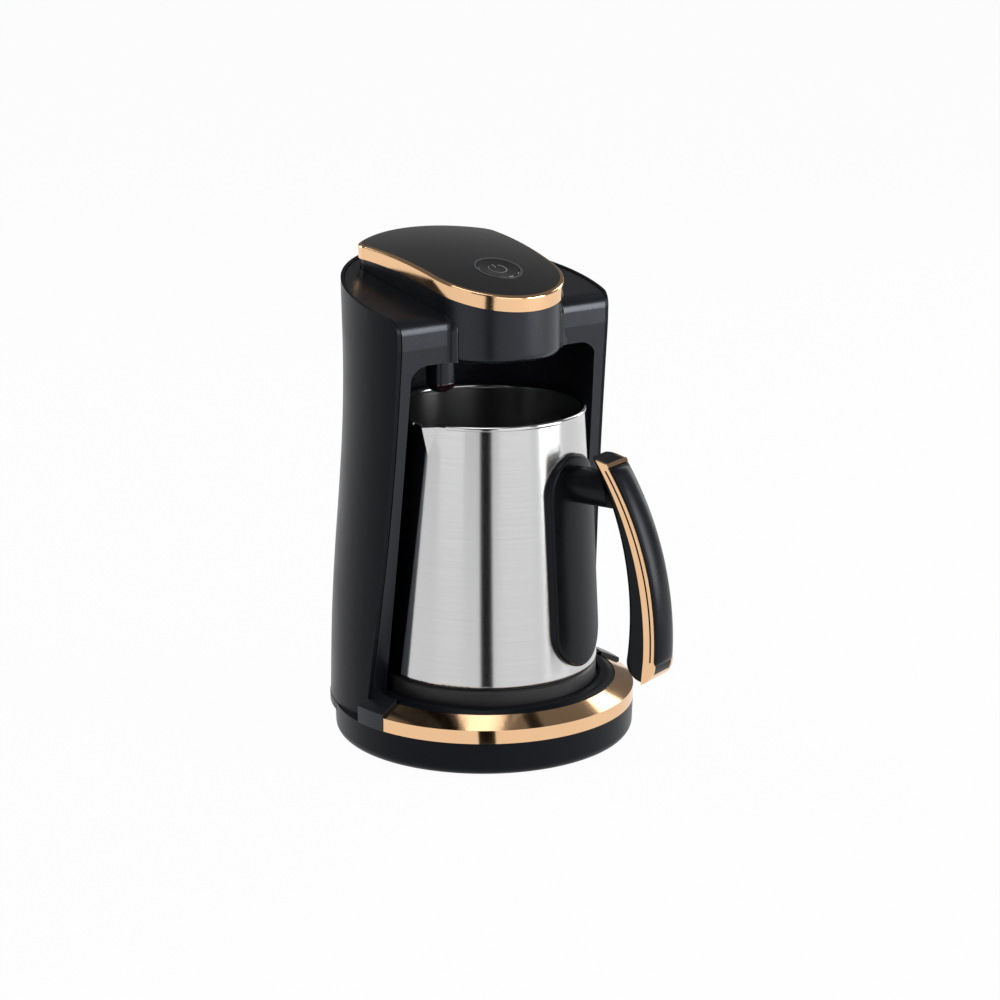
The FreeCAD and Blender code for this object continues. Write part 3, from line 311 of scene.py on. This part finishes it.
whitePlasticLook = {
    "dark": (0.66, 0.66, 0.63), "light": (0.76, 0.76, 0.73), "wornAndSheen": (0.85, 0.85, 0.83),
    "smooth": 0.35, "rough": 0.5, "wearAndSheen": 0.3,
    "grain": {"Scale": 1300.0, "Depth": 0.1, "Wave": 0.02},
}
iconLook = {
    "dark": (0.2, 0.21, 0.22), "light": (0.26, 0.27, 0.28), "wornAndSheen": (0.34, 0.35, 0.36),
    "smooth": 0.3, "rough": 0.4, "wearAndSheen": 0.2,
    "grain": {"Scale": 2000.0, "Depth": 0.05, "Wave": 0.01},
}

finishes = {
    "satin_black": surface("satinBlack", satinBlackLook),
    "frame_black": surface("frameBlack", frameBlackLook),
    "handle_black": surface("handleBlack", handleBlackLook),
    "gloss_black": surface("glossBlack", glossBlackLook),
    "button_ring": surface("buttonRing", buttonRingLook),
    "rose_metal": surface("roseMetal", roseMetalLook),
    "steel": surface("spunSteel", steelLook),
    "coated_plate": surface("coatedPlate", coatedPlateLook),
    "aluminium": surface("millAluminium", aluminiumLook),
    "zinc": surface("zincPlate", zincLook),
    "rubber": surface("rubberBlack", rubberLook),
    "window": surface("sensorWindow", windowLook),
    "board": surface("boardGreen", boardLook),
    "component_black": surface("componentBlack", componentBlackLook),
    "white_plastic": surface("whitePlastic", whitePlasticLook),
}
iconPrint = surface("iconPrint", iconLook)

for part in frame["record"]["subparts"]:
    node = nodes[part["node"]]
    node.data.materials.clear()
    node.data.materials.append(finishes[part["material_slot"]])
print("finishes assigned")


def addPiece(name, form, material, body, smooth=True):
    mesh = bpy.data.meshes.new(name)
    form.to_mesh(mesh)
    form.free()
    piece = bpy.data.objects.new(name, mesh)
    bpy.context.scene.collection.objects.link(piece)
    mesh.materials.append(material)
    if smooth:
        mesh.shade_smooth()
    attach(piece, body)
    return piece


# printed mark on the button: an open ring with a bar through its gap
powerMark = {
    "radius": 0.0042, "stroke": 0.00065, "thick": 0.00026, "gapAngle": 70, "barLow": 0.0016, "barHigh": 0.0056,
    "depth": 0.00062, "rimBand": 0.0002, "ringSteps": 40, "barSteps": 4,
}


def buttonUp():
    # square to the sloping panel: the way the button comes back
    for joint in frame["joints"]:
        if joint["name"] == "button_press":
            return -Vector(joint["axis"]).normalized()


def buildPowerMark():
    up = buttonUp()
    verts = [v.co.copy() for v in nodes["start_button"].data.vertices]
    top = max(v.dot(up) for v in verts)
    rim = [v for v in verts if v.dot(up) > top - powerMark["rimBand"]]
    centre = sum(rim, Vector()) / len(rim)
    # the dish is lowest at its middle, so the mark is laid at the middle's own height
    floor = top - powerMark["depth"]
    half = math.radians(powerMark["gapAngle"] / 2)
    inner = powerMark["radius"] - powerMark["stroke"] / 2
    outer = powerMark["radius"] + powerMark["stroke"] / 2
    form = bmesh.new()
    start = form.verts.new((0, inner, 0))
    end = form.verts.new((0, outer, 0))
    edge = form.edges.new((start, end))
    bmesh.ops.rotate(form, verts=[start, end], cent=(0, 0, 0), matrix=Matrix.Rotation(half, 3, "Z"))
    bmesh.ops.spin(form, geom=[start, end, edge], cent=(0, 0, 0), axis=(0, 0, 1),
                   angle=2 * math.pi - 2 * half, steps=powerMark["ringSteps"], use_duplicate=False)
    bar = bmesh.ops.create_grid(form, x_segments=1, y_segments=powerMark["barSteps"], size=0.5)
    length = powerMark["barHigh"] - powerMark["barLow"]
    bmesh.ops.scale(form, vec=(powerMark["stroke"], length, 1), verts=bar["verts"])
    bmesh.ops.translate(form, vec=(0, powerMark["barLow"] + length / 2, 0), verts=bar["verts"])
    bmesh.ops.recalc_face_normals(form, faces=form.faces)
    bmesh.ops.solidify(form, geom=list(form.faces), thickness=powerMark["thick"])
    bmesh.ops.recalc_face_normals(form, faces=form.faces)
    foot = centre + up * (floor - centre.dot(up) + powerMark["thick"] / 2)
    turn = up.to_track_quat("Z", "Y").to_matrix().to_4x4()
    bmesh.ops.transform(form, matrix=Matrix.Translation(foot) @ turn, verts=form.verts)
    return addPiece("power_mark", form, iconPrint, "button", smooth=False)


buildPowerMark()
print("power mark laid")


# dome over the sensor's eye
sensorDome = {"radius": 0.00675, "drop": 0.0046, "sunk": 0.0022, "around": 48, "rings": 24}


def buildSensorDome():
    low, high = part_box("sensor_housing")
    form = bmesh.new()
    bmesh.ops.create_uvsphere(form, u_segments=sensorDome["around"], v_segments=sensorDome["rings"], radius=1.0)
    bmesh.ops.scale(form, vec=(sensorDome["radius"], sensorDome["radius"], sensorDome["drop"]), verts=form.verts)
    middle = Vector(((low.x + high.x) / 2, (low.y + high.y) / 2, low.z + sensorDome["sunk"]))
    bmesh.ops.translate(form, vec=middle, verts=form.verts)
    return addPiece("sensor_dome", form, finishes["window"], "machine")


buildSensorDome()
print("sensor dome set")


# grip: crowned cover, the dark line in its bright frame and the frame's top band
# its outer edge is an arc in the handle's own plane, where a point is (reach from the pot's axis, height)
grip = {"potBack": -0.0021, "turn": 19.2, "centre": (-0.04478, 0.05781), "radius": 0.1405,
        "top": (0.0696, 0.1394), "low": (0.0956, 0.052), "width": 0.0166}
gripCrown = {"height": 0.0022, "inset": 0.0004, "sunk": 0.0006, "roundness": 0.62, "taper": 0.0035,
             "lowGap": 0.016, "across": 12, "along": 64}
gripLine = {"inward": 0.0015, "wide": 0.0007, "proud": 0.00012, "topGap": 0.016, "along": 48}
gripTopTrim = {"long": 0.0019, "deep": 0.0026, "proud": 0.0004, "sideProud": 0.00004, "over": 0.0006, "along": 4}


def gripPlace():
    # from the handle's own plane (X across, Y reach, Z up) to the object's frame
    turn = math.radians(grip["turn"])
    across = Vector((math.cos(turn), math.sin(turn), 0))
    reach = Vector((math.sin(turn), -math.cos(turn), 0))
    up = Vector((0, 0, 1))
    matrix = Matrix((across, reach, up)).transposed().to_4x4()
    matrix.translation = Vector((0, baseY + grip["potBack"], 0))
    return matrix


def gripAngle(point):
    return math.atan2(point[1] - grip["centre"][1], point[0] - grip["centre"][0])


def closeSweep(form):
    bmesh.ops.remove_doubles(form, verts=form.verts, dist=1e-6)
    bmesh.ops.recalc_face_normals(form, faces=form.faces)


def sweepAlongGrip(section, startAngle, endAngle, steps):
    # the section stands at angle 0 on the arc's own circle: X across, Y outward from the arc's centre
    form = bmesh.new()
    verts = [form.verts.new((x, grip["centre"][0] + out, grip["centre"][1])) for x, out in section]
    face = form.faces.new(verts)
    centre = Vector((0, grip["centre"][0], grip["centre"][1]))
    bmesh.ops.rotate(form, verts=verts, cent=centre, matrix=Matrix.Rotation(startAngle, 3, "X"))
    bmesh.ops.spin(form, geom=[face] + list(face.edges) + list(face.verts), cent=centre, axis=(1, 0, 0),
                   angle=endAngle - startAngle, steps=steps, use_duplicate=False)
    closeSweep(form)
    return form


def addGripPiece(name, form, slotName, smooth=True):
    bmesh.ops.transform(form, matrix=gripPlace(), verts=form.verts)
    closeSweep(form)
    return addPiece(name, form, finishes[slotName], "pot", smooth)


def lowerCrownEnds(form, startAngle, endAngle):
    # both ends of the crown fall away to the cover
    for vert in form.verts:
        out = Vector((vert.co.y - grip["centre"][0], vert.co.z - grip["centre"][1]))
        proud = out.length - grip["radius"]
        if proud <= 0:
            continue
        angle = math.atan2(out.y, out.x)
        fromEnd = min(startAngle - angle, angle - endAngle) * grip["radius"]
        share = min(1.0, max(0.0, fromEnd / gripCrown["taper"]))
        keep = grip["radius"] + proud * math.sqrt(1 - (1 - share) ** 2)
        vert.co.y = grip["centre"][0] + out.x / out.length * keep
        vert.co.z = grip["centre"][1] + out.y / out.length * keep


def buildGripCrown():
    half = grip["width"] / 2 - gripCrown["inset"]
    section = [(-half, grip["radius"] - gripCrown["sunk"])]
    for i in range(gripCrown["across"] + 1):
        x = -half + 2 * half * i / gripCrown["across"]
        arch = max(0.0, 1 - (x / half) ** 2) ** gripCrown["roundness"]
        section.append((x, grip["radius"] + gripCrown["height"] * arch))
    section.append((half, grip["radius"] - gripCrown["sunk"]))
    startAngle = gripAngle(grip["top"]) - gripTopTrim["long"] / grip["radius"]
    endAngle = gripAngle(grip["low"]) - gripCrown["lowGap"]
    form = sweepAlongGrip(section, startAngle, endAngle, gripCrown["along"])
    lowerCrownEnds(form, startAngle, endAngle)
    return addGripPiece("grip_crown", form, "handle_black")


def boxSection(half, low, high):
    return [(-half, low), (-half, high), (half, high), (half, low)]


def buildGripLine():
    high = grip["radius"] - gripLine["inward"]
    section = boxSection(grip["width"] / 2 + gripLine["proud"], high - gripLine["wide"], high)
    startAngle = gripAngle(grip["top"]) - gripLine["topGap"]
    form = sweepAlongGrip(section, startAngle, gripAngle(grip["low"]), gripLine["along"])
    return addGripPiece("grip_line", form, "handle_black")


def buildGripTopTrim():
    section = boxSection(grip["width"] / 2 + gripTopTrim["sideProud"],
                         grip["radius"] - gripTopTrim["deep"], grip["radius"] + gripTopTrim["proud"])
    startAngle = gripAngle(grip["top"]) + gripTopTrim["over"]
    endAngle = startAngle - gripTopTrim["long"] / grip["radius"]
    form = sweepAlongGrip(section, startAngle, endAngle, gripTopTrim["along"])
    return addGripPiece("grip_top_trim", form, "rose_metal", smooth=False)


buildGripCrown()
buildGripLine()
buildGripTopTrim()
print("grip dressed")


# studio
def addToStage(name, form, material):
    mesh = bpy.data.meshes.new(name)
    form.to_mesh(mesh)
    form.free()
    mesh.materials.append(material)
    item = bpy.data.objects.new(name, mesh)
    bpy.context.scene.collection.objects.link(item)
    return item


def addForMirrors(tree, path, share, base):
    # base, and a share more where a shiny surface looks
    node = tree.nodes.new("ShaderNodeMath")
    node.operation = "MULTIPLY_ADD"
    node.inputs[1].default_value = share
    tree.links.new(path.outputs["Is Glossy Ray"], node.inputs[0])
    tree.links.new(base, node.inputs[2])
    return node.outputs[0]


studioFloor = {"size": 6.0, "colour": (0.9, 0.9, 0.9), "glow": 0.97, "mirroredGlow": 0.85}


def buildFloor():
    # mostly white to the camera, so that only the object's shadow shows
    material = bpy.data.materials.new("paleFloor")
    material.use_nodes = True
    tree = material.node_tree
    tree.nodes.clear()
    out = tree.nodes.new("ShaderNodeOutputMaterial")
    mix = tree.nodes.new("ShaderNodeMixShader")
    matt = tree.nodes.new("ShaderNodeBsdfDiffuse")
    matt.inputs["Color"].default_value = (*studioFloor["colour"], 1)
    glow = tree.nodes.new("ShaderNodeEmission")
    glow.inputs["Color"].default_value = (1, 1, 1, 1)
    glow.inputs["Strength"].default_value = 1.0
    path = tree.nodes.new("ShaderNodeLightPath")
    seen = tree.nodes.new("ShaderNodeMath")
    seen.operation = "MULTIPLY"
    seen.inputs[1].default_value = studioFloor["glow"]
    tree.links.new(path.outputs["Is Camera Ray"], seen.inputs[0])
    share = addForMirrors(tree, path, studioFloor["mirroredGlow"], seen.outputs[0])
    tree.links.new(share, mix.inputs[0])
    tree.links.new(matt.outputs[0], mix.inputs[1])
    tree.links.new(glow.outputs[0], mix.inputs[2])
    tree.links.new(mix.outputs[0], out.inputs["Surface"])
    form = bmesh.new()
    bmesh.ops.create_grid(form, x_segments=1, y_segments=1, size=studioFloor["size"])
    return addToStage("studio_floor", form, material)


darkCard = {"turn": -37.0, "near": 0.1, "nearWide": 0.016, "far": 1.7, "farWide": 0.38, "rise": 1.8,
            "lift": 0.0008, "colour": (0.01, 0.01, 0.01)}


def buildDarkCard():
    # a card on the floor, bent up behind the camera, that draws the dark band on the pot
    form = bmesh.new()
    bmesh.ops.create_grid(form, x_segments=1, y_segments=1, size=0.5)
    for vert in form.verts:
        near = vert.co.y > 0
        vert.co.x *= darkCard["nearWide"] if near else darkCard["farWide"]
        vert.co.y = -darkCard["near"] if near else -darkCard["far"]
        vert.co.z = darkCard["lift"]
    middle = -(darkCard["near"] + darkCard["far"]) / 2
    farEdge = [edge for edge in form.edges if all(v.co.y < middle for v in edge.verts)]
    raised = bmesh.ops.extrude_edge_only(form, edges=farEdge)
    raisedVerts = [item for item in raised["geom"] if isinstance(item, bmesh.types.BMVert)]
    bmesh.ops.translate(form, vec=(0, 0, darkCard["rise"]), verts=raisedVerts)
    turn = Matrix.Rotation(math.radians(darkCard["turn"]), 3, "Z")
    bmesh.ops.rotate(form, verts=form.verts, cent=(0, 0, 0), matrix=turn)
    velvet = bpy.data.materials.new("darkCard")
    velvet.use_nodes = True
    shader = velvet.node_tree.nodes["Principled BSDF"]
    shader.inputs["Base Color"].default_value = (*darkCard["colour"], 1)
    shader.inputs["Roughness"].default_value = 1.0
    shader.inputs["Specular IOR Level"].default_value = 0.0
    card = addToStage("dark_card", form, velvet)
    card.visible_camera = False
    card.visible_shadow = False
    card.visible_diffuse = False
    return card


roomLight = {"ambient": 0.1, "mirrored": 0.16}


def buildWorld():
    # white to the camera, dim to the object, a little brighter to shiny surfaces
    world = bpy.data.worlds.new("studioWorld")
    bpy.context.scene.world = world
    world.use_nodes = True
    tree = world.node_tree
    tree.nodes.clear()
    out = tree.nodes.new("ShaderNodeOutputWorld")
    back = tree.nodes.new("ShaderNodeBackground")
    back.inputs["Color"].default_value = (1, 1, 1, 1)
    path = tree.nodes.new("ShaderNodeLightPath")
    level = tree.nodes.new("ShaderNodeMapRange")
    level.inputs["To Min"].default_value = roomLight["ambient"]
    level.inputs["To Max"].default_value = 1.0
    tree.links.new(path.outputs["Is Camera Ray"], level.inputs["Value"])
    strength = addForMirrors(tree, path, roomLight["mirrored"] - roomLight["ambient"], level.outputs["Result"])
    tree.links.new(strength, back.inputs["Strength"])
    tree.links.new(back.outputs[0], out.inputs["Surface"])


lamps = {
    "keyLamp": {"at": (-1.72, -0.45, 0.7), "aim": (0, 0, 0.12), "wide": 1.0, "high": 1.5, "power": 3.8},
    "frontLamp": {"at": (-0.1, -1.95, 0.75), "aim": (0, 0, 0.12), "wide": 1.4, "high": 1.2, "power": 9.0},
    "fillLamp": {"at": (1.25, -1.45, 0.5), "aim": (0, 0, 0.14), "wide": 1.0, "high": 0.95, "power": 26.0},
    "topLamp": {"at": (-0.25, -0.1, 1.9), "aim": (0, 0, 0.2), "wide": 0.9, "high": 0.9, "power": 7.0},
    "sideLamp": {"at": (1.6, 0.3, 0.7), "aim": (0, 0, 0.12), "wide": 0.5, "high": 1.3, "power": 6.0},
    "rimLamp": {"at": (-0.8, 1.55, 0.6), "aim": (0, 0, 0.12), "wide": 0.8, "high": 1.2, "power": 10.0},
}


def buildLamps():
    for name, setup in lamps.items():
        lamp = bpy.data.lights.new(name, "AREA")
        lamp.shape = "RECTANGLE"
        lamp.size = setup["wide"]
        lamp.size_y = setup["high"]
        lamp.energy = setup["power"]
        holder = bpy.data.objects.new(name, lamp)
        bpy.context.scene.collection.objects.link(holder)
        back = Vector(setup["at"]) - Vector(setup["aim"])
        holder.location = setup["at"]
        holder.rotation_euler = back.to_track_quat("Z", "Y").to_euler()


buildFloor()
buildDarkCard()
buildWorld()
buildLamps()
print("studio lit")


# camera at the photograph's angle
cameraSetup = {"eye": (-0.6804, -0.9318, 0.4214), "turn": -36.51, "rise": 15.08, "lens": 93.32,
               "sensor": 36, "clipStart": 0.05}


def buildCamera():
    view = bpy.data.cameras.new("camera")
    view.lens = cameraSetup["lens"]
    view.sensor_width = cameraSetup["sensor"]
    view.clip_start = cameraSetup["clipStart"]
    camera = bpy.data.objects.new("camera", view)
    bpy.context.scene.collection.objects.link(camera)
    camera.location = Vector(cameraSetup["eye"]) + Vector((0, baseY, 0))
    turn, rise = math.radians(cameraSetup["turn"]), math.radians(cameraSetup["rise"])
    back = Vector((math.sin(turn) * math.cos(rise), -math.cos(turn) * math.cos(rise), math.sin(rise)))
    camera.rotation_euler = back.to_track_quat("Z", "Y").to_euler()
    bpy.context.scene.camera = camera


buildCamera()
bpy.context.scene.view_settings.view_transform = "Standard"
print("camera placed")
